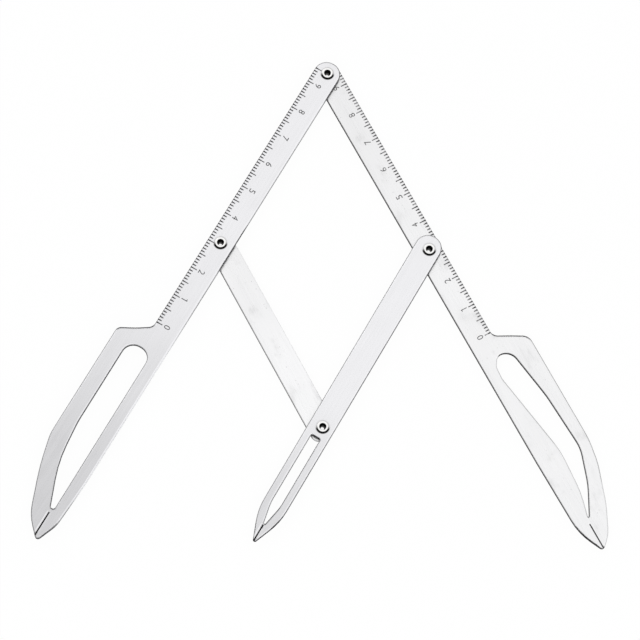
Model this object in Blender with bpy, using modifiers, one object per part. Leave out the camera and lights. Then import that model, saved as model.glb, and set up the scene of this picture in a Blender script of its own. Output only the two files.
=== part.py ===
# Golden ratio caliper, lying flat with its face up.
# Four flat steel bars turn on four hollow rivets. The left arm and the middle leg lie in the
# front layer, the right arm and the cross link in the back layer. The rhombus between the
# rivets keeps the three tips on one line and in golden proportion at every opening.
import math

import bmesh
import bpy

for item in list(bpy.data.objects):
    bpy.data.objects.remove(item)

# Linkage
pivot_spacing = 0.0642
golden_share = (3 - math.sqrt(5)) / 2
arm_reach = pivot_spacing / golden_share
leg_reach = arm_reach - pivot_spacing
half_opening = math.radians(29.3)

# Bars
bar_width = 0.0081
plate_thickness = 0.001
edge_chamfer = 0.0001
arm_end_margin = 0.0037
leg_end_margin = 0.0043
link_end_margin = 0.0034
half_bar = bar_width / 2
bar_end_share = 0.98
bar_end_radius = bar_end_share * half_bar
# The link's corner that shows in the leg's slot is cut squarer
link_corner_share = 0.64
link_corner_radius = link_corner_share * half_bar

# Blades of the two arms, measured from the line through the rivets
left_blade_length = 0.071
right_blade_length = 0.0717
left_blade_edge = 0.0131
right_blade_edge = 0.01375
shoulder_fillet = 0.0026
tip_radius = 0.0009
# The bars are cut slightly askew to their rivet lines, turned about their first rivet, and the
# leg is also punched off its middle
left_lean = math.radians(-0.25)
right_lean = math.radians(-0.08)
leg_lean = math.radians(0.24)
link_lean = math.radians(-0.1)
leg_offset = -0.00048

# Windows in the blades and the slot in the middle leg
left_window_head = 0.0073
left_window_end = 0.0061
left_inner_rail = 0.00425
left_outer_rail = 0.00515
right_window_head = 0.0058
right_window_end = 0.0089
right_inner_rail = 0.00305
right_outer_rail = 0.00365
slot_head = 0.0036
slot_end = 0.0047
slot_width = 0.003
leg_nose_length = 0.0087
leg_tip_radius = 0.0006

# Witness lines cut beside the rivet line at each tip, out through the point
left_line_length = 0.0079
right_line_length = 0.0086
leg_line_length = 0.0055
left_line_offset = 0.0003
right_line_offset = 0.0007
leg_line_offset = -0.0002
line_width = 0.0004
line_depth = 0.0002

# Hollow rivets, and the washers that keep the two layers apart
bore_diameter = 0.0021
shank_diameter = 0.0027
rim_diameter = 0.0037
rim_height = 0.0004
hole_clearance = 0.0001
washer_diameter = 0.0066
washer_thickness = 0.0002
face_gap = 0.00005

# Heights of the stack, from the surface that the back rims rest on
back_layer = rim_height + face_gap
washer_layer = back_layer + plate_thickness + face_gap
front_layer = washer_layer + washer_thickness + face_gap
front_rim = front_layer + plate_thickness + face_gap

cut_overrun = 0.001
arc_step = math.radians(7)
ring_sides = 32
smooth_angle = math.radians(40)
weld_distance = 0.000001

# Corners of the blades: shares of the blade length, the blade edge and the blade edge
left_blade_shares = (
    (0.041, 0.643, 1.9),
    (0.077, 1.0, 0.155),
    (0.608, 1.0, 1.3),
    (0.747, 0.805, 4.9),
    (0.938, 0.415, 1.2),
)
right_blade_shares = (
    (0.0336, 0.643, 1.9),
    (0.0707, 1.0, 0.24),
    (0.5735, 1.0, 1.9),
    (0.677, 0.904, 1.4),
    (0.843, 0.603, 2.2),
    (0.954, 0.313, 0.73),
)
# The heels of the tips: shares of the blade length, the half bar width and the blade edge
left_heel_shares = ((0.9214, 0.708, 0.8), (0.717, 0.9025, 1.5))
right_heel_shares = ((0.893, 0.81, 1.4), (0.5526, 0.9235, 3.0))
# The tips' own corners: shares of the tip radius, past the reach and outside the rivet line
left_tip_shares = (1.3, -0.18)
right_tip_shares = (0.18, 0.65)
# Corners of the windows: shares of the window's length, its width and its width
left_window_shares = (
    (0.0, 0.0, 0.46),
    (0.0, 1.0, 0.46),
    (0.495, 1.0, 3.8),
    (0.72, 0.826, 5.1),
    (1.0, 0.0, 0.097),
)
right_window_shares = (
    (0.0, 0.303, 0.22),
    (0.025, 0.679, 0.35),
    (0.313, 0.91, 3.4),
    (0.636, 1.0, 1.1),
    (0.821, 0.676, 2.2),
    (1.0, 0.186, 0.022),
    (0.838, 0.405, 2.6),
    (0.602, 0.49, 2.2),
    (0.126, 0.09, 0.56),
    (0.057, 0.115, 0.2),
)
# The leg's nose: its width as a share of the bar, its radius as a share of its length, and
# the tip's corner past the reach as a share of the tip radius
nose_shares = (0.94, 2.3, 1.7)
# The leg's slot: the neck as a share of its length, then three radii as shares of its width
slot_shares = (0.75, 4.0, 0.1, 0.17)


def material(name, color, roughness):
    made = bpy.data.materials.new(name)
    made.use_nodes = True
    shader = made.node_tree.nodes["Principled BSDF"]
    shader.inputs["Base Color"].default_value = (*color, 1)
    shader.inputs["Roughness"].default_value = roughness
    shader.inputs["Metallic"].default_value = 1
    return made


brushed_steel = material("brushed_steel", (0.72, 0.72, 0.73), 0.35)
rivet_steel = material("rivet_steel", (0.66, 0.66, 0.67), 0.22)
washer_steel = material("washer_steel", (0.5, 0.5, 0.5), 0.3)

parts = bpy.data.collections.new("golden_ratio_caliper")
cutters = bpy.data.collections.new("cutters")
bpy.context.scene.collection.children.link(parts)
bpy.context.scene.collection.children.link(cutters)


def empty(name, place=(0, 0, 0), parent=None):
    axis = bpy.data.objects.new(name, None)
    axis.location = place
    axis.parent = parent
    parts.objects.link(axis)
    return axis


def ring(radius, sides=ring_sides):
    turns = [2 * math.pi * step / sides for step in range(sides)]
    return [(radius * math.cos(turn), radius * math.sin(turn)) for turn in turns]


def rounded(corners):
    """Points of a closed outline whose corners (x, y, radius) are rounded by arcs."""
    points = []
    for index, (x, y, radius) in enumerate(corners):
        back_x, back_y, _ = corners[index - 1]
        ahead_x, ahead_y, _ = corners[(index + 1) % len(corners)]
        arrive = math.atan2(y - back_y, x - back_x)
        leave = math.atan2(ahead_y - y, ahead_x - x)
        turn = math.remainder(leave - arrive, 2 * math.pi)
        side = math.copysign(1, turn)
        setback = radius * math.tan(abs(turn) / 2)
        center_x = x - setback * math.cos(arrive) - side * radius * math.sin(arrive)
        center_y = y - setback * math.sin(arrive) + side * radius * math.cos(arrive)
        steps = max(2, math.ceil(abs(turn) / arc_step))
        for step in range(steps + 1):
            heading = arrive + turn * step / steps
            points.append((center_x + side * radius * math.sin(heading),
                           center_y - side * radius * math.cos(heading)))
    return points


def place_piece(name, shape, surface, parent):
    """Keeps the finished shape of a drawn object as the mesh of a new piece."""
    depsgraph = bpy.context.evaluated_depsgraph_get()
    mesh = bpy.data.meshes.new_from_object(shape.evaluated_get(depsgraph))
    mesh.name = name
    bpy.data.objects.remove(shape)
    work = bmesh.new()
    work.from_mesh(mesh)
    bmesh.ops.remove_doubles(work, verts=work.verts, dist=weld_distance)
    bmesh.ops.recalc_face_normals(work, faces=work.faces)
    work.to_mesh(mesh)
    work.free()
    mesh.materials.clear()
    mesh.materials.append(surface)
    made = bpy.data.objects.new(name, mesh)
    made.parent = parent
    parts.objects.link(made)
    return made


def plate(name, outlines, thickness, layer, surface, parent, turn=0.0, chamfer=0.0):
    """A flat piece cut from sheet: the first outline is its edge, the others are openings."""
    curve = bpy.data.curves.new(name, "CURVE")
    curve.dimensions = "2D"
    curve.fill_mode = "BOTH"
    curve.extrude = thickness / 2 - chamfer
    curve.bevel_depth = chamfer
    curve.bevel_resolution = 0
    curve.offset = -chamfer
    for outline in outlines:
        spline = curve.splines.new("POLY")
        spline.points.add(len(outline) - 1)
        for point, (x, y) in zip(spline.points, outline):
            point.co = (x, y, 0, 1)
        spline.use_cyclic_u = True
    drawn = bpy.data.objects.new(name + "_outline", curve)
    parts.objects.link(drawn)
    made = place_piece(name, drawn, surface, parent)
    made.location.z = layer + thickness / 2
    made.rotation_euler.z = turn
    return made


def bar(name, outlines, layer, parent, turn):
    return plate(name, outlines, plate_thickness, layer, brushed_steel, parent, turn, edge_chamfer)


def engrave(piece, start, end, offset):
    """Cuts the witness line into the face, at the offset from the rivet line, out through the tip."""
    length = end + cut_overrun - start
    depth = line_depth + cut_overrun
    mesh = bpy.data.meshes.new(piece.name + "_line")
    work = bmesh.new()
    bmesh.ops.create_cube(work, size=1)
    bmesh.ops.scale(work, vec=(length, line_width, depth), verts=work.verts)
    middle = (start + length / 2, offset, plate_thickness / 2 - line_depth + depth / 2)
    bmesh.ops.translate(work, vec=middle, verts=work.verts)
    work.to_mesh(mesh)
    work.free()
    cutter = bpy.data.objects.new(piece.name + "_line", mesh)
    cutter.parent = piece
    cutter.hide_render = True
    cutter.display_type = "WIRE"
    cutters.objects.link(cutter)
    cut = piece.modifiers.new("witness_line", "BOOLEAN")
    cut.operation = "DIFFERENCE"
    cut.object = cutter
    return piece


def leaned(corners, lean, side=1, offset=0.0):
    """Moves the corners by the offset, turns them by the lean about the first rivet, and mirrors
    them where side is -1."""
    return [(along, (across + offset + along * math.tan(lean)) * side, radius)
            for along, across, radius in corners]


def rivet_hole(along):
    radius = shank_diameter / 2 + hole_clearance
    return [(along + x, y) for x, y in ring(radius)]


def blade_corners(shares, tip_shares, heel_shares, blade_length, blade_edge):
    """The arm's edge, with the blade's outer side at positive across."""
    start = arm_reach - blade_length
    corners = [(-arm_end_margin, half_bar, bar_end_radius), (start, half_bar, shoulder_fillet)]
    for along, across, radius in shares:
        corners.append((start + along * blade_length, across * blade_edge, radius * blade_edge))
    past, outside = tip_shares
    corners.append((arm_reach + past * tip_radius, outside * tip_radius, tip_radius))
    for along, across, radius in heel_shares:
        corners.append((start + along * blade_length, -across * half_bar, radius * blade_edge))
    corners.append((-arm_end_margin, -half_bar, bar_end_radius))
    return corners


def window_corners(shares, blade_length, head, end, inner_rail, outer):
    start = arm_reach - blade_length + head
    length = arm_reach - end - start
    inner = inner_rail - half_bar
    width = outer - inner
    return [(start + along * length, inner + across * width, radius * width)
            for along, across, radius in shares]


def arm(name, edge, window, line_length, line_offset, lean, side, layer, parent, turn):
    outlines = [
        rounded(leaned(edge, lean, side)),
        rounded(leaned(window, lean, side)),
        rivet_hole(0.0),
        rivet_hole(pivot_spacing),
    ]
    made = bar(name, outlines, layer, parent, turn)
    return engrave(made, arm_reach - line_length, arm_reach, line_offset * side)


def leg(parent, turn):
    nose_share, radius_share, past = nose_shares
    nose = leg_reach - leg_nose_length
    half_nose = nose_share * half_bar
    nose_radius = radius_share * leg_nose_length
    edge = [
        (-leg_end_margin, half_bar, bar_end_radius),
        (nose, half_nose, nose_radius),
        (leg_reach + past * leg_tip_radius, 0.0, leg_tip_radius),
        (nose, -half_nose, nose_radius),
        (-leg_end_margin, -half_bar, bar_end_radius),
    ]
    neck_share, neck_radius, end_radius, head_radius = slot_shares
    start = pivot_spacing + slot_head
    end = leg_reach - slot_end
    neck = start + neck_share * (end - start)
    half_slot = slot_width / 2
    slot = [
        (start, half_slot, head_radius * slot_width),
        (neck, half_slot, neck_radius * slot_width),
        (end, 0.0, end_radius * slot_width),
        (neck, -half_slot, neck_radius * slot_width),
        (start, -half_slot, head_radius * slot_width),
    ]
    outlines = [
        rounded(leaned(edge, leg_lean, offset=leg_offset)),
        rounded(leaned(slot, leg_lean, offset=leg_offset)),
        rivet_hole(0.0),
        rivet_hole(pivot_spacing),
    ]
    made = bar("middle_leg", outlines, front_layer, parent, turn)
    return engrave(made, leg_reach - leg_line_length, leg_reach, leg_line_offset)


def link(parent, turn):
    far = pivot_spacing + link_end_margin
    edge = [
        (-link_end_margin, half_bar, bar_end_radius),
        (far, half_bar, bar_end_radius),
        (far, -half_bar, link_corner_radius),
        (-link_end_margin, -half_bar, bar_end_radius),
    ]
    outlines = [rounded(leaned(edge, link_lean)), rivet_hole(0.0), rivet_hole(pivot_spacing)]
    return bar("cross_link", outlines, back_layer, parent, turn)


def rivet(name, parent):
    """A tube whose two ends are rolled over into round rims."""
    bore = bore_diameter / 2
    rim = rim_diameter / 2
    shank = shank_diameter / 2
    middle = (bore + rim) / 2
    reach = (rim - bore) / 2
    rolls = 8
    bend = [math.pi * step / rolls for step in range(rolls + 1)]
    front = [(middle - reach * math.cos(a), front_rim + rim_height * math.sin(a)) for a in bend]
    back = [(middle + reach * math.cos(a), rim_height - rim_height * math.sin(a)) for a in bend]
    profile = front + [(shank, front_rim), (shank, rim_height)] + back
    mesh = bpy.data.meshes.new(name + "_profile")
    edges = [(index, (index + 1) % len(profile)) for index in range(len(profile))]
    mesh.from_pydata([(x, 0, z) for x, z in profile], edges, [])
    drawn = bpy.data.objects.new(name + "_profile", mesh)
    parts.objects.link(drawn)
    turned = drawn.modifiers.new("turned", "SCREW")
    turned.steps = ring_sides
    turned.render_steps = ring_sides
    turned.use_merge_vertices = True
    turned.merge_threshold = weld_distance
    made = place_piece(name, drawn, rivet_steel, parent)
    made.data.shade_smooth()
    made.data.set_sharp_from_angle(angle=smooth_angle)
    return made


def washer(name, parent):
    hole = ring(shank_diameter / 2 + hole_clearance)
    outline = ring(washer_diameter / 2)
    return plate(name, [outline, hole], washer_thickness, washer_layer, washer_steel, parent)


# Directions of the two pairs of parallel bars, from the apex rivet at the top
left_heading = -math.pi / 2 - half_opening
right_heading = -math.pi / 2 + half_opening


def along_bar(heading, distance):
    return (distance * math.cos(heading), distance * math.sin(heading), 0)


root = empty("caliper_frame")
apex_axis = empty("apex_axis", parent=root)
left_axis = empty("left_axis", along_bar(left_heading, pivot_spacing), root)
right_axis = empty("right_axis", along_bar(right_heading, pivot_spacing), root)
foot_axis = empty("foot_axis", along_bar(left_heading, pivot_spacing), right_axis)

left_edge = blade_corners(left_blade_shares, left_tip_shares, left_heel_shares,
                          left_blade_length, left_blade_edge)
left_window = window_corners(left_window_shares, left_blade_length, left_window_head, left_window_end,
                             left_inner_rail, left_blade_edge - left_outer_rail)
right_edge = blade_corners(right_blade_shares, right_tip_shares, right_heel_shares,
                           right_blade_length, right_blade_edge)
right_window = window_corners(right_window_shares, right_blade_length, right_window_head, right_window_end,
                              right_inner_rail, right_blade_edge - right_outer_rail)
arm("left_arm", left_edge, left_window, left_line_length, left_line_offset,
    left_lean, -1, front_layer, apex_axis, left_heading)
arm("right_arm", right_edge, right_window, right_line_length, right_line_offset,
    right_lean, 1, back_layer, apex_axis, right_heading)
leg(right_axis, left_heading)
link(left_axis, right_heading)
for axis in (apex_axis, left_axis, right_axis, foot_axis):
    place = axis.name.removesuffix("_axis")
    rivet(place + "_rivet", axis)
    washer(place + "_washer", axis)

# The origin lies under the middle of the whole part
bpy.context.view_layer.update()
depsgraph = bpy.context.evaluated_depsgraph_get()
spots = []
for item in parts.objects:
    if item.type == "MESH":
        shape = item.evaluated_get(depsgraph)
        spots += [shape.matrix_world @ vertex.co for vertex in shape.data.vertices]
for side in range(2):
    values = [spot[side] for spot in spots]
    root.location[side] = -(min(values) + max(values)) / 2
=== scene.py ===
import math

import bpy
from mathutils import Matrix, Vector


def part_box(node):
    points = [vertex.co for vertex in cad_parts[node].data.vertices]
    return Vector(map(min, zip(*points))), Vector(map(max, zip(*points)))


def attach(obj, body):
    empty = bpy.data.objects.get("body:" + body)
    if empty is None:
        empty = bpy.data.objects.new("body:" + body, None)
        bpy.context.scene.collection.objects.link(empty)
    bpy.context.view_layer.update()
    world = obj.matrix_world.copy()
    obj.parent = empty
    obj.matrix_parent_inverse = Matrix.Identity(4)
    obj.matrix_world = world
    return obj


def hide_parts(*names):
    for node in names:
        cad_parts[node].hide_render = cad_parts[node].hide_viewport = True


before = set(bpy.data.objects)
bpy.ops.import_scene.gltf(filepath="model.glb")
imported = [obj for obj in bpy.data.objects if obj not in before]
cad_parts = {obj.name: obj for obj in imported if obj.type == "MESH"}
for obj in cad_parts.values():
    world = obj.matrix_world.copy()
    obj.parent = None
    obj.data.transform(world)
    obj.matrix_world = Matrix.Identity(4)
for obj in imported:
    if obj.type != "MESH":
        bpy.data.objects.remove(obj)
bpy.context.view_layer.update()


# Left arm. A long bar of 1 mm stainless sheet with a widened, windowed blade, cut out by laser and
# rolled bright. It lies in the front layer: its face is faintly grained along the bar, its cut
# edges are dull and dark, and a fine witness line is scored beside the rivet line at the tip.
millimetre = 0.001
front_face = 2.75
front_tint = (0.995, 0.993, 1.014)
edge_round = 0.0007
grain_depth = 0.00001
# Where a feature fades in or out, in mm along the bar, across it, out from a rivet or down
blade_begins = (60.0, 80.0)
bright_begins = (84.0, 106.0)
bright_ends = (150.0, 158.0)
beside_line = (0.7, 0.95)
rim_ring_begins = (1.7, 1.86)
rim_ring_ends = (2.0, 2.28)
crossing_shadow_ends = (7.5, 10.5)
cut_begins = (0.1, 0.16)
cut_ends = (0.4, 0.6)


class Signal:
    """A value or vector in a material. Arithmetic on it adds Math nodes. One without a socket is
    a bench, which only makes nodes."""

    def __init__(self, tree, socket=None):
        self.tree = tree
        self.socket = socket

    def node(self, kind, settings, inputs, output=0):
        made = self.tree.nodes.new("ShaderNode" + kind)
        for name, value in settings.items():
            setattr(made, name, value)
        for name, value in inputs.items():
            if isinstance(value, Signal):
                self.tree.links.new(value.socket, made.inputs[name])
            else:
                made.inputs[name].default_value = value
        return Signal(self.tree, made.outputs[output])

    def maths(self, operation, *values):
        return self.node("Math", {"operation": operation}, dict(enumerate(values)))

    def vector_maths(self, operation, *others, output="Vector"):
        inputs = dict(enumerate((self, *others)))
        return self.node("VectorMath", {"operation": operation}, inputs, output)

    def __add__(self, other):
        return self.maths("ADD", self, other)

    def __sub__(self, other):
        return self.maths("SUBTRACT", self, other)

    def __rsub__(self, other):
        return self.maths("SUBTRACT", other, self)

    def __mul__(self, other):
        return self.maths("MULTIPLY", self, other)

    def __truediv__(self, other):
        return self.maths("DIVIDE", self, other)

    def __neg__(self):
        return self * -1

    def __abs__(self):
        return self.maths("ABSOLUTE", self)

    __radd__ = __add__
    __rmul__ = __mul__

    def at_most(self, limit):
        return self.maths("MINIMUM", self, limit)

    def fade(self, low, high):
        """Rises smoothly from 0 where this value is low to 1 where it is high."""
        limits = {"Value": self, "From Min": low, "From Max": high}
        return self.node("MapRange", {"interpolation_type": "SMOOTHSTEP"}, limits)

    def toward(self, other, share):
        """This value, moved to the other one by a share from 0 to 1."""
        return self + share * (other - self)

    def axis(self, index):
        return self.node("SeparateXYZ", {}, {0: self}, index)

    def stretched(self, along, across, height):
        return self.vector_maths("MULTIPLY", (along, across, height))

    def length(self):
        return self.vector_maths("LENGTH", output="Value")

    def noise(self, along, across, height, detail=2.0):
        """Noise with so many waves to the millimetre in each direction."""
        place = self.stretched(along, across, height)
        return self.node("TexNoise", {}, {"Vector": place, "Scale": 1.0, "Detail": detail})

    def gray(self, tint):
        """A colour from black, at 0, to the tint, at 1."""
        return self.node("Mix", {"data_type": "RGBA"}, {0: self, 6: (0, 0, 0, 1), 7: (*tint, 1)}, 2)

    def bump(self, strength, distance, **normal):
        """The normal of a surface with this relief."""
        sizes = {"Height": self, "Strength": strength, "Distance": distance}
        return self.node("Bump", {}, {**sizes, **normal})


def new_material(name, parts):
    """A material whose shader gets the values and signals that parts(bench) returns."""
    made = bpy.data.materials.new(name)
    made.use_nodes = True
    shader = made.node_tree.nodes["Principled BSDF"]
    for socket, value in parts(Signal(made.node_tree)).items():
        if isinstance(value, Signal):
            made.node_tree.links.new(value.socket, shader.inputs[socket])
        else:
            shader.inputs[socket].default_value = value
    return made


def refinish(node, parts):
    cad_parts[node].material_slots[0].material = new_material(node + "_steel", parts)


def pivot(rivet):
    low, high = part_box(rivet)
    return Vector(((low.x + high.x) / 2, (low.y + high.y) / 2, 0))


def heading(start, end):
    way = pivot(end) - pivot(start)
    return math.atan2(way.y, way.x)


def millimetres(bench, center, turn=0.0):
    """Object coordinates in millimetres, from a pivot and along a bar."""
    place = bench.node("TexCoord", {}, {}, "Object")
    setting = {"Location": center, "Rotation": (0, 0, turn), "Scale": [millimetre] * 3}
    return place.node("Mapping", {"vector_type": "TEXTURE"}, {"Vector": place, **setting})


def rolled_face(patch, painted_falloff, near, far, soil):
    """The gray of the rolled face, with a painted change of its reflection from near to far as drift
    goes from 0 to 1, and the fine and the coarse streaks of its grain.
    """
    hair = patch.noise(0.09, 6.0, 0.0)
    grain = patch.noise(0.04, 1.7, 0.0)
    cloud = patch.noise(0.05, 0.12, 0.0, 3.0)
    smudge = patch.noise(0.11, 0.17, 0.0, 4.0).fade(0.54, 0.72) * patch.noise(0.8, 2.2, 0.0)
    cell = {"Vector": patch.stretched(0.7, 0.9, 0.0), "Scale": 1.0, "Randomness": 1.0}
    speck = 1 - patch.node("TexVoronoi", {}, cell, "Distance").fade(0.06, 0.2)
    rare = patch.noise(0.14, 0.3, 0.0, 1.0).fade(0.5, 0.66)
    # Painted reflection: the face's gray moves from near to far along the bar
    sheen = near + painted_falloff * (far - near) + (hair - 0.5) * 0.05 + (grain - 0.5) * 0.06
    dirt = (smudge + speck * rare) * (0.22 * soil)
    return sheen + (cloud - 0.5) * 0.07 - dirt, hair, grain


def rivet_rubs(spot, turn, crossing_shade):
    """A ring of grime and painted shadow round each rivet's rim, the painted shadow darkest on its
    lower side, and the painted shadow that darkens the bar's edge beside the rivets, where it lies
    over another bar."""
    down = (-math.sin(turn), -math.cos(turn), 0)
    rivet_spacing = (pivot("left_rivet") - pivot("apex_rivet")).length / millimetre
    rim_grime_and_painted_shadow = 0.0
    painted_crossing_shadow = 0.0
    for reach, shadow_share in zip((0.0, rivet_spacing), crossing_shade):
        away = spot.stretched(1, 1, 0).vector_maths("SUBTRACT", (reach, 0, 0))
        apart = away.length()
        low = away.vector_maths("DOT_PRODUCT", down, output="Value")
        ring = apart.fade(*rim_ring_begins) * (1 - apart.fade(*rim_ring_ends))
        rim_grime_and_painted_shadow = ring * (0.16 + low.fade(-0.2, 0.9) * 0.84) + rim_grime_and_painted_shadow
        painted_crossing_shadow = (1 - apart.fade(*crossing_shadow_ends)) * shadow_share + painted_crossing_shadow
    return rim_grime_and_painted_shadow, painted_crossing_shadow


def edge_facing(round_edge):
    """How far a rounded edge leans out of the flat, and how far it faces right and up."""
    swap = {"vector_type": "NORMAL", "convert_from": "WORLD", "convert_to": "OBJECT"}
    edge = round_edge.node("VectorTransform", swap, {0: round_edge})
    slant = edge.stretched(1, 1, 0).length()
    return slant, edge.axis(0) / (slant + 0.001), edge.axis(1) / (slant + 0.001)


def witness_strip(along, across, line, cleared_shade):
    """The strip round a witness line in which the painted shade line along its sides shows less. line
    is its start, end and side offset, clean how much less that is."""
    start, end, offset = line
    beside = 1 - abs(across - offset).fade(*beside_line)
    scored = along.fade(start - 0.5, start - 0.1) * beside * cleared_shade
    return scored * (1 - along.fade(end - 1.4, end - 1.0))


def sheet_steel(first, turn, face, tint, near, far, span, soil, edges, low_cut=0.0,
                window=(0.0, 0.0), window_edges=(0.0, 0.0), line=None, line_gray=0.0, cleared_shade=1.0,
                crossing_shade=(0.0, 0.0), bright=0.0):
    """Rolled sheet, seen along the bar from its first rivet, in mm.

    face is the height of its upper side, near and far its gray at the two ends of span, a painted
    change of its reflection along the bar, and soil the share of smudges and specks. edges is how
    dark the painted shade line is along its left, right and lower edges, low_cut the gray painted on
    the cut wall below the last, where it faces down, window the middle and half width of its window
    across the bar and window_edges how much darker the painted shade line of the left and right edges
    is there. line is the witness line's start, end and side offset, line_gray its gray and clean how
    much weaker the painted shade line along its sides is. pressed is how much the painted shadow
    darkens the right edge at the first and second rivet, where it lies over another bar, and bright
    is 1 where that edge is painted light along the blade, as a painted reflection of the white floor,
    in place of its painted shade line."""
    left_edge, right_edge, low_edge = edges
    window_middle, window_half = window
    left_more, right_more = window_edges

    def parts(bench):
        spot = millimetres(bench, pivot(first), turn)
        along, across, height = (spot.axis(index) for index in range(3))
        patch = spot.vector_maths("ADD", (17.0 * face, 5.0, 0))
        face_and_painted_falloff, hair, grain = rolled_face(patch, along.fade(*span), near, far, soil)
        rim_grime_and_painted_shadow, painted_crossing_shadow = rivet_rubs(spot, turn, crossing_shade)

        # The face, the cut wall and the broken edge between them, and the way that an edge faces
        upward = abs(bench.node("TexCoord", {}, {}, "Normal").axis(2))
        flat = upward.fade(0.86, 0.97)
        wall = 1 - upward.fade(0.12, 0.35)
        broken = 1 - flat - wall
        round_edge = bench.node("Bevel", {"samples": 12}, {"Radius": edge_round})
        slant, right_share, up_share = edge_facing(round_edge)
        rightward = right_share.fade(-0.35, 0.35)
        upward_edge = up_share.fade(0.5, 0.95)
        downward_edge = (-up_share).fade(0.52, 0.74)

        # A painted shade line that each broken edge draws on the face, wider where the edge faces up
        # or down
        scored = witness_strip(along, across, line, cleared_shade) if line else 0.0
        inside = 1 - abs(across - window_middle).fade(window_half - 0.3, window_half + 0.3)
        beyond = along.fade(*blade_begins)
        wide = 1 + upward_edge * (0.4 + beyond * 2.6) + downward_edge * (1 - inside) * beyond * 1.5
        painted_edge_line = (slant * wide).fade(0.2, 0.36) * (1 - scored)

        # How dark that painted shade line is, by the way the edge faces
        left_shade = inside * left_more + left_edge
        right_shade = inside * right_more + right_edge + painted_crossing_shadow
        shade = left_shade.toward(right_shade, rightward)
        shade = shade.toward(0.55 + beyond * 0.4, upward_edge).toward(low_edge, downward_edge)
        # Painted reflection: along part of the blade the right edge and its wall are painted light,
        # as a reflection of the white floor, and the edge loses its painted shade line
        painted_edge_reflection = along.fade(*bright_begins) * (1 - along.fade(*bright_ends))
        painted_edge_reflection = painted_edge_reflection * rightward * (1 - inside) * (1 - upward_edge) * bright
        shade = shade.at_most(0.98) * (1 - painted_edge_reflection)

        # The grays of the face, with its painted glint, painted shade lines, the grime and painted
        # shadow round its rivets and the witness line cut into it, of the wall and of the edge
        # Painted highlight: a light band just inside the edges that face right and towards -y
        glint = slant.fade(0.002, 0.02) * (1 - painted_edge_line) * rightward * (-up_share).fade(0.1, 0.4)
        face_with_painted_light = face_and_painted_falloff.toward(0.99, glint * 0.8) * (1 - rim_grime_and_painted_shadow * 0.97) * (1 - painted_edge_line * shade)
        below = face - height
        cut = below.fade(*cut_begins) * (1 - below.fade(*cut_ends))
        top = face_with_painted_light.toward(line_gray, cut)
        # The cut wall's own dark oxide gray, with painted light on it: the painted reflection along
        # the blade, and low_cut's painted gray on walls that face down, which are also made matte
        dull = wall * downward_edge
        wall_oxide_and_painted_light = 0.005 + spot.noise(5.0, 5.0, 0.25) * 0.03 + painted_edge_reflection * 0.8 + dull * low_cut
        # The broken edge is painted dark by the same painted shade as the line beside it
        lip = 0.9 * (1 - shade)
        relief = hair * 0.6 + grain * 0.4 + wall * spot.noise(6.0, 6.0, 0.3)
        return {
            "Base Color": (top * flat + wall_oxide_and_painted_light * wall + lip * broken).gray(tint),
            "Roughness": 0.2 + hair * 0.1 + grain * 0.08 + wall * 0.35 + cut * 0.3,
            "Metallic": 1 - dull,
            "Specular IOR Level": 0.0,
            "Normal": relief.bump(0.2, grain_depth, Normal=round_edge),
        }

    return parts


left_way = heading("apex_rivet", "left_rivet")
refinish("left_arm", sheet_steel(
    "apex_rivet", left_way, front_face, front_tint, near=0.825, far=0.625, span=(60.0, 165.0),
    soil=0.15, edges=(0.74, 0.3, 0.8), window=(-4.0, 4.8), window_edges=(0.04, 0.56),
    line=(160.2, 168.1, -0.3), line_gray=0.01, cleared_shade=0.6, crossing_shade=(0.6, 0.6), bright=1.0))


# Right arm. The back layer's long bar, of the same sheet, with its blade on the other side. Its
# face was handled more: it carries smudges and a few specks.
back_face = 1.45
back_tint = (0.995, 0.994, 1.002)
right_way = heading("apex_rivet", "right_rivet")
refinish("right_arm", sheet_steel(
    "apex_rivet", right_way, back_face, back_tint, near=0.835, far=0.885, span=(12.0, 75.0),
    soil=0.8, edges=(0.8, 0.62, 0.95), window=(5.0, 5.3), window_edges=(0.0, -0.3),
    line=(159.5, 168.1, 0.7), line_gray=0.1))


# Middle leg. A bar in the front layer with a narrow slot and a pointed nose, riveted to the right
# arm and to the cross link. Plain, evenly rolled sheet.
refinish("middle_leg", sheet_steel(
    "right_rivet", left_way, front_face, front_tint, near=0.85, far=0.7, span=(50.0, 99.0),
    soil=0.1, edges=(0.78, 0.82, 0.98), window=(0.0, 2.4), window_edges=(0.16, -0.2),
    line=(99.9, 103.9, -0.2), line_gray=0.01, cleared_shade=0.6, crossing_shade=(0.14, -0.1)))


# Cross link. A short plain bar in the back layer that closes the rhombus, of the same sheet. It
# carries smudges and specks; its right edge has almost no painted shade line, and its cut walls that
# face down are painted a lighter gray.
refinish("cross_link", sheet_steel(
    "left_rivet", right_way, back_face, back_tint, near=0.865, far=0.915, span=(15.0, 45.0),
    soil=1.0, edges=(0.56, 0.02, 0.3), low_cut=0.4))


# Washers. Thin stamped rings between the two layers, one on each rivet, with the ring marks of
# their turning and the gray of rubbed steel.
turning_depth = 0.00001


def washer_steel(center):
    def parts(bench):
        spot = millimetres(bench, center)
        radius = spot.stretched(1, 1, 0).length()
        turned = bench.maths("SINE", radius * 40.0 + spot.noise(0.4, 0.4, 0.4) * 6.0)
        dull = spot.noise(0.9, 0.9, 0.9, 3.0)
        return {
            "Base Color": (0.36 + dull * 0.2 + turned * 0.03).gray((1.0, 0.99, 0.97)),
            "Roughness": 0.3 + dull * 0.2,
            "Metallic": 1.0,
            "Normal": turned.bump(0.2, turning_depth),
        }

    return parts


for corner in ("apex", "left", "right", "foot"):
    refinish(corner + "_washer", washer_steel(pivot(corner + "_rivet")))


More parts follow.
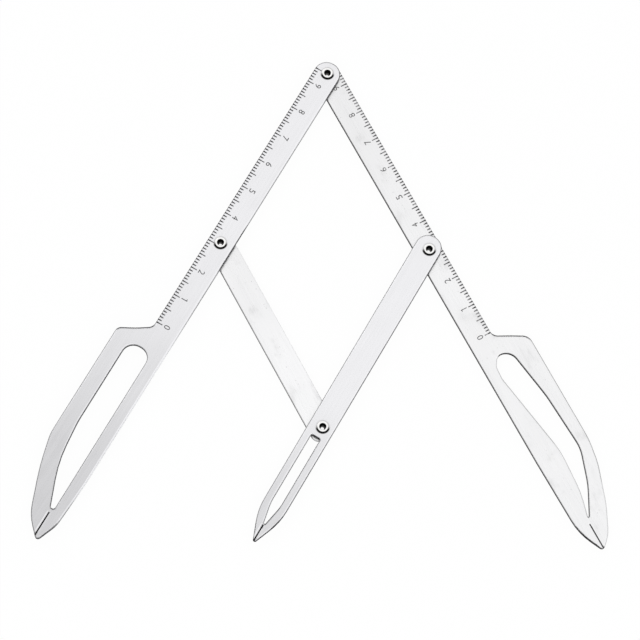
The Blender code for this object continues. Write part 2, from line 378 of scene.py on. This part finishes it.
# Rivets. Four short tubes whose ends are rolled over into round, bright rims, with painted shade on
# each rim's outer flank, darkest on its lower side. The bore goes right through and narrows to the
# back; its inside is painted dark as shade, lighter towards the back end, and the rims are pressed
# down onto the outer plates. They are a hair shorter and slimmer than the model's own, to stay within
# its box.
bore_radius = 0.00105
back_bore_radius = 0.0005
shank_radius = 0.00135
rim_radius = 0.00184
rim_height = 0.0004
rivet_length = 0.003199
bore_roll = 0.00012
rim_roll = 0.00034
rim_break = 0.00006
rivet_sides = 64
smooth_angle = math.radians(38)
dent_depth = 0.00002
near_enough = 1e-6
# Where the bore ends and the rim's flank begins, in mm from the axis
bore_ends = (1.03, 1.12)
flank_begins = (1.5, 1.6)


def rivet_finish(center):
    def parts(bench):
        spot = millimetres(bench, center)
        radius = spot.stretched(1, 1, 0).length()
        bore = 1 - radius.fade(*bore_ends)
        flank = radius.fade(*flank_begins)
        # Painted shade on the rim's outer flank, darkest on its lower side
        painted_flank_shade = flank * (0.25 + (-spot.axis(1)).fade(-0.3, 0.8) * 0.75)
        fold = spot.noise(1.6, 1.6, 1.6, 3.0)
        rub = spot.noise(5.0, 5.0, 5.0)
        rim_gray = (1.0 - fold * 0.08 - rub * 0.03) * (1 - painted_flank_shade * 0.99)
        # The bore's inside is painted dark as shade, and lighter towards the back end
        depths = (1 - spot.axis(2).fade(0.3, 1.9)) * 0.3
        bore_gray = 0.012 + rub * 0.02 + depths
        return {
            "Base Color": rim_gray.toward(bore_gray, bore).gray((1.0, 0.995, 0.985)),
            "Roughness": 0.16 + rub * 0.12 + bore * 0.4 + painted_flank_shade * 0.4,
            "Metallic": 1.0,
            "Specular Tint": (0.2, 0.2, 0.2, 1),
            "Normal": (rub * 0.3 + fold).bump(0.12, dent_depth),
        }

    return parts


def pick(piece, kind, wanted):
    """Selects the piece's vertices, edges or polygons (kind) for which wanted(it) is true."""
    modes = {"vertices": "VERT", "edges": "EDGE", "polygons": "FACE"}
    bpy.ops.mesh.select_all(action="DESELECT")
    bpy.ops.mesh.select_mode(type=modes[kind])
    bpy.ops.object.mode_set(mode="OBJECT")
    for item in getattr(piece.data, kind):
        item.select = wanted(item)
    bpy.ops.object.mode_set(mode="EDIT")


def end_gap(place):
    """How far a place on the rivet is from the nearer of its two ends."""
    return min(place.z, rivet_length - place.z)


def ends(edge):
    return [rivet.data.vertices[index].co for index in edge.vertices]


def rim_seam(edge):
    """An upright edge where a rim meets the tube."""
    middle = sum(ends(edge), Vector()) / 2
    return abs(middle.x - shank_radius) < near_enough and end_gap(middle) < rim_height - near_enough


def inner_seam(edge):
    """A level edge across the tube's wall, at the height where a rim begins."""
    start, end = ends(edge)
    level = abs(start.z - end.z) < near_enough
    return level and end_gap(start) > near_enough and (start + end).x / 2 < shank_radius - near_enough


def bore_corner(vertex):
    return end_gap(vertex.co) < near_enough and vertex.co.x < bore_radius + near_enough


def rim_corner(vertex):
    return end_gap(vertex.co) < near_enough and vertex.co.x > rim_radius - near_enough


def rim_foot(vertex):
    return end_gap(vertex.co) >= near_enough and vertex.co.x > rim_radius - near_enough


# The profile is one wall of the tube, with its rims pulled out, which is then spun round the axis
bpy.ops.object.select_all(action="DESELECT")
bpy.ops.mesh.primitive_plane_add(size=1, rotation=(math.pi / 2, 0, 0))
rivet = bpy.context.object
rivet.scale = (shank_radius - bore_radius, rivet_length, 1)
rivet.location = ((shank_radius + bore_radius) / 2, 0, rivet_length / 2)
bpy.ops.object.transform_apply(location=True, rotation=True, scale=True)
back_corner = min(rivet.data.vertices, key=lambda vertex: vertex.co.x + vertex.co.z)
back_corner.co.x = back_bore_radius
bpy.ops.object.mode_set(mode="EDIT")
for level in (rim_height, rivet_length - rim_height):
    bpy.ops.mesh.select_all(action="SELECT")
    bpy.ops.mesh.bisect(plane_co=(0, 0, level), plane_no=(0, 0, 1))
pick(rivet, "edges", rim_seam)
bpy.ops.mesh.extrude_region_move(TRANSFORM_OT_translate={"value": (rim_radius - shank_radius, 0, 0)})
for seam in (rim_seam, inner_seam):
    pick(rivet, "edges", seam)
    bpy.ops.mesh.dissolve_edges(use_verts=False)
rolls = ((bore_corner, bore_roll, 3), (rim_corner, rim_roll, 7), (rim_foot, rim_break, 2))
for wanted, size, steps in rolls:
    pick(rivet, "vertices", wanted)
    bpy.ops.mesh.bevel(offset=size, segments=steps, affect="VERTICES")
bpy.ops.mesh.select_all(action="SELECT")
bpy.ops.mesh.delete(type="ONLY_FACE")
bpy.ops.mesh.select_all(action="SELECT")
bpy.ops.mesh.spin(steps=rivet_sides, angle=2 * math.pi, center=(0, 0, 0), axis=(0, 0, 1))
bpy.ops.mesh.select_all(action="SELECT")
bpy.ops.mesh.remove_doubles(threshold=near_enough)
bpy.ops.mesh.normals_make_consistent(inside=False)
bpy.ops.object.mode_set(mode="OBJECT")
bpy.ops.object.shade_smooth_by_angle(angle=smooth_angle)

carriers = {"apex": "left_arm", "left": "left_arm", "right": "right_arm", "foot": "middle_leg"}
for corner, body in carriers.items():
    center = pivot(corner + "_rivet")
    turned = bpy.data.objects.new(corner + "_rolled_rivet", rivet.data.copy())
    bpy.context.scene.collection.objects.link(turned)
    turned.data.transform(Matrix.Translation(center))
    turned.data.materials.append(new_material(corner + "_rivet_finish", rivet_finish(center)))
    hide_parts(corner + "_rivet")
    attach(turned, body)
bpy.data.objects.remove(rivet)


# Scale marks. Centimetre scales etched dark into the outer edge of both long bars: a tapering
# line for each millimetre, cut over the edge, a longer one for each fifth, and thin upright
# figures. They are counted from the blade's shoulder up to the apex rivet.
mark_width = 0.0005
mark_end_width = 0.0003
short_mark = 0.00125
long_mark = 0.0021
mark_rise = 0.000008
mark_depth = 0.00034
edge_break = 0.0001
half_bar = 0.00405
zero_mark = 0.09525
mark_spacing = 0.001
marks_in_group = 5
mark_groups = 19
first_mark = zero_mark - mark_groups * marks_in_group * mark_spacing
figure_spacing = 0.01
figure_shift = 0.00008
figure_height = 0.00195
figure_width = 0.0012
figure_stroke = 0.00026
flag_reach = 0.00055
flag_foot = 0.00062
flag_top = 0.00084
shown_figures = (0, 1, 2, 4, 5, 6, 7, 8, 9)
etch_depth = 0.00002
doubles_apart = 1e-7


def etched(center, turn, wear):
    def parts(bench):
        spot = millimetres(bench, center, turn)
        burn = 1 - abs(spot.axis(1)).fade(2.2, 4.0)
        blotch = spot.noise(1.1, 1.1, 1.0, 3.0)
        rub = spot.noise(3.2, 3.2, 1.0)
        level = 0.012 + burn * 0.05 + blotch.fade(0.45, 0.7) * (0.05 + wear * 0.25) + rub * 0.03
        return {
            "Base Color": level.gray((1.0, 1.0, 1.02)),
            "Roughness": 0.5 + rub * 0.2,
            "Metallic": 0.3,
            "Normal": rub.bump(0.2, etch_depth),
        }

    return parts


def block(low, high):
    bpy.ops.mesh.primitive_cube_add(size=1)
    made = bpy.context.object
    made.data.transform(Matrix.Diagonal((*(b - a for a, b in zip(low, high)), 1)))
    made.data.transform(Matrix.Translation([(a + b) / 2 for a, b in zip(low, high)]))
    return made


def activate(piece):
    bpy.ops.object.select_all(action="DESELECT")
    piece.select_set(True)
    bpy.context.view_layer.objects.active = piece


def repeat(piece, count, step):
    activate(piece)
    row = piece.modifiers.new("row", "ARRAY")
    row.use_relative_offset = False
    row.use_constant_offset = True
    row.constant_offset_displace = step
    row.count = count
    bpy.ops.object.modifier_apply(modifier="row")


def inner_end(face):
    return face.normal.y < -0.9


def mark_rows(edge, slope, face):
    """The rows of short and of long marks, along an outer edge that is at edge beside the first
    mark and runs on at the slope."""
    half = mark_width / 2
    top = face + mark_rise
    short = block((first_mark - half, edge - short_mark, face - mark_depth),
                  (first_mark + half, edge + mark_rise, top))
    bpy.ops.object.mode_set(mode="EDIT")
    pick(short, "polygons", inner_end)
    bpy.ops.transform.resize(value=(mark_end_width / mark_width, 1, 1))

    def outer_top(item):
        corners = [short.data.vertices[index].co for index in item.vertices]
        return all(corner.y > edge and corner.z > face for corner in corners)

    pick(short, "edges", outer_top)
    bpy.ops.mesh.bevel(offset=edge_break, segments=1, affect="EDGES")
    bpy.ops.object.mode_set(mode="OBJECT")

    long = bpy.data.objects.new("long_marks", short.data.copy())
    bpy.context.scene.collection.objects.link(long)
    activate(long)
    bpy.ops.object.mode_set(mode="EDIT")
    pick(long, "polygons", inner_end)
    bpy.ops.mesh.extrude_region_move(TRANSFORM_OT_translate={"value": (0, short_mark - long_mark, 0)})
    bpy.ops.object.mode_set(mode="OBJECT")

    step = Vector((mark_spacing, mark_spacing * slope, 0))
    short.data.transform(Matrix.Translation(step))
    repeat(short, marks_in_group - 1, step)
    repeat(short, mark_groups, step * marks_in_group)
    repeat(long, mark_groups + 1, step * marks_in_group)
    return short, long


def figure_pieces(count):
    """The pieces of one figure, round the origin and as deep as a mark. The 1 has a stem and a
    flag."""
    half = mark_depth / 2
    if count == 1:
        left = -figure_stroke / 2
        stem = block((left, -figure_height / 2, -half), (-left, figure_height / 2, half))
        return [stem, block((-flag_reach, flag_foot, -half), (left, flag_top, half))]
    bpy.ops.object.text_add()
    lettering = bpy.context.object.data
    lettering.body = str(count)
    lettering.extrude = 1
    lettering.resolution_u = 4
    bpy.ops.object.convert(target="MESH")
    figure = bpy.context.object
    places = [vertex.co for vertex in figure.data.vertices]
    box = [(min(place[i] for place in places), max(place[i] for place in places)) for i in range(3)]
    grow = [size / (high - low) for size, (low, high)
            in zip((figure_width, figure_height, mark_depth), box)]
    figure.data.transform(Matrix.Translation([-(low + high) / 2 for low, high in box]))
    figure.data.transform(Matrix.Diagonal((*grow, 1)))
    return [figure]


def scale_marks(name, body, turn, side, lean, face, across, wear):
    """Marks in the bar's own directions: x towards the tip, y across. side is 1 or -1 for the
    edge that carries them, across the distance of the figures from the rivet line."""
    bpy.ops.object.select_all(action="DESELECT")
    slope = math.tan(math.radians(lean))
    short, long = mark_rows(half_bar + first_mark * slope, slope, face)
    for row in (short, long):
        row.data.transform(Matrix.Diagonal((1, side, 1, 1)))
    pieces = [short, long]
    upright = Matrix.Rotation(math.pi if side > 0 else 0.0, 4, "Z")
    for count in shown_figures:
        along = zero_mark - figure_spacing * count - figure_shift
        place = (along, (across + along * slope) * side, face + mark_rise - mark_depth / 2)
        for piece in figure_pieces(count):
            piece.data.transform(Matrix.Translation(place) @ upright)
            pieces.append(piece)
    activate(short)
    for piece in pieces:
        piece.select_set(True)
    bpy.ops.object.join()
    apex = pivot("apex_rivet")
    short.data.transform(Matrix.Translation(apex) @ Matrix.Rotation(turn, 4, "Z"))
    bpy.ops.object.mode_set(mode="EDIT")
    bpy.ops.mesh.select_all(action="SELECT")
    bpy.ops.mesh.remove_doubles(threshold=doubles_apart)
    bpy.ops.mesh.normals_make_consistent(inside=False)
    bpy.ops.object.mode_set(mode="OBJECT")
    short.name = name
    short.data.materials.clear()
    short.data.materials.append(new_material(name + "_etch", etched(apex, turn, wear)))
    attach(short, body)


scale_marks("left_scale_marks", "left_arm", left_way, side=-1, lean=-0.25,
            face=front_face * millimetre, across=0.00038, wear=0.0)
scale_marks("right_scale_marks", "right_arm", right_way, side=1, lean=-0.08,
            face=back_face * millimetre, across=0.00042, wear=1.0)


# Floor. A plain white table under the tool. Wherever it is seen it glows evenly, like well-lit
# white paper, and it still takes the tool's soft shadow.
floor_size = 8
paper_white = (0.98, 0.98, 0.98, 1)
glow_share = 0.95


def seen(bench):
    """1 for a ray from the camera, also one that was reflected or passed through glass."""
    camera_ray, glossy_ray, transmission_ray = (
        bench.node("LightPath", {}, {}, "Is %s Ray" % kind)
        for kind in ("Camera", "Glossy", "Transmission"))
    return (camera_ray + glossy_ray + transmission_ray).at_most(1.0)


bpy.ops.object.select_all(action="DESELECT")
bpy.ops.mesh.primitive_plane_add(size=floor_size)
floor = bpy.context.object
floor.name = "floor"
paper = bpy.data.materials.new("white_paper")
paper.use_nodes = True
bench = Signal(paper.node_tree)
paper.node_tree.nodes.remove(paper.node_tree.nodes["Principled BSDF"])
matte = bench.node("BsdfDiffuse", {}, {"Color": paper_white})
glow = bench.node("Emission", {}, {"Color": (1, 1, 1, 1), "Strength": 1.0})
blend = bench.node("MixShader", {}, {0: seen(bench) * glow_share, 1: matte, 2: glow})
output = paper.node_tree.nodes["Material Output"]
paper.node_tree.links.new(blend.socket, output.inputs["Surface"])
floor.data.materials.append(paper)


# Light. A white room, dimmer as a light than where it is seen, and two soft lamps: a low one in
# front for the broken edges, and one behind on the left.
room_light = 0.85

room = bpy.data.worlds.new("white_room")
room.use_nodes = True
bpy.context.scene.world = room
sky = room.node_tree.nodes["Background"]
sky.inputs["Color"].default_value = (1, 1, 1, 1)
strength = room_light + seen(Signal(room.node_tree)) * (1 - room_light)
room.node_tree.links.new(strength.socket, sky.inputs["Strength"])


def lamp(name, place, size, power):
    light = bpy.data.lights.new(name, "AREA")
    light.size = size
    light.energy = power
    made = bpy.data.objects.new(name, light)
    made.location = place
    made.rotation_euler = Vector(place).to_track_quat("Z", "Y").to_euler()
    bpy.context.scene.collection.objects.link(made)


lamp("front_lamp", place=(0.1, -1.2, 0.5), size=0.9, power=3.5)
lamp("back_lamp", place=(-0.7, 0.9, 1.1), size=0.8, power=2.0)


# Camera. Above the open side, a little to the left, looking down along the tool. Its place and its
# three directions were fitted to the rivets, the points and the scales of the photograph.
camera_right = (0.99818, 0.01324, 0.05886)
camera_up = (-0.02968, 0.95718, 0.28798)
camera_back = (-0.05253, -0.2892, 0.95583)
eye = pivot("apex_rivet") + Vector((-0.03736, -0.278163, 0.660086))

view = bpy.data.cameras.new("camera")
view.lens = 130
view.sensor_width = 36
camera = bpy.data.objects.new("camera", view)
sight = Matrix((camera_right, camera_up, camera_back)).transposed().to_4x4()
camera.matrix_world = Matrix.Translation(eye) @ sight
bpy.context.scene.collection.objects.link(camera)
bpy.context.scene.camera = camera
bpy.context.scene.view_settings.view_transform = "Standard"
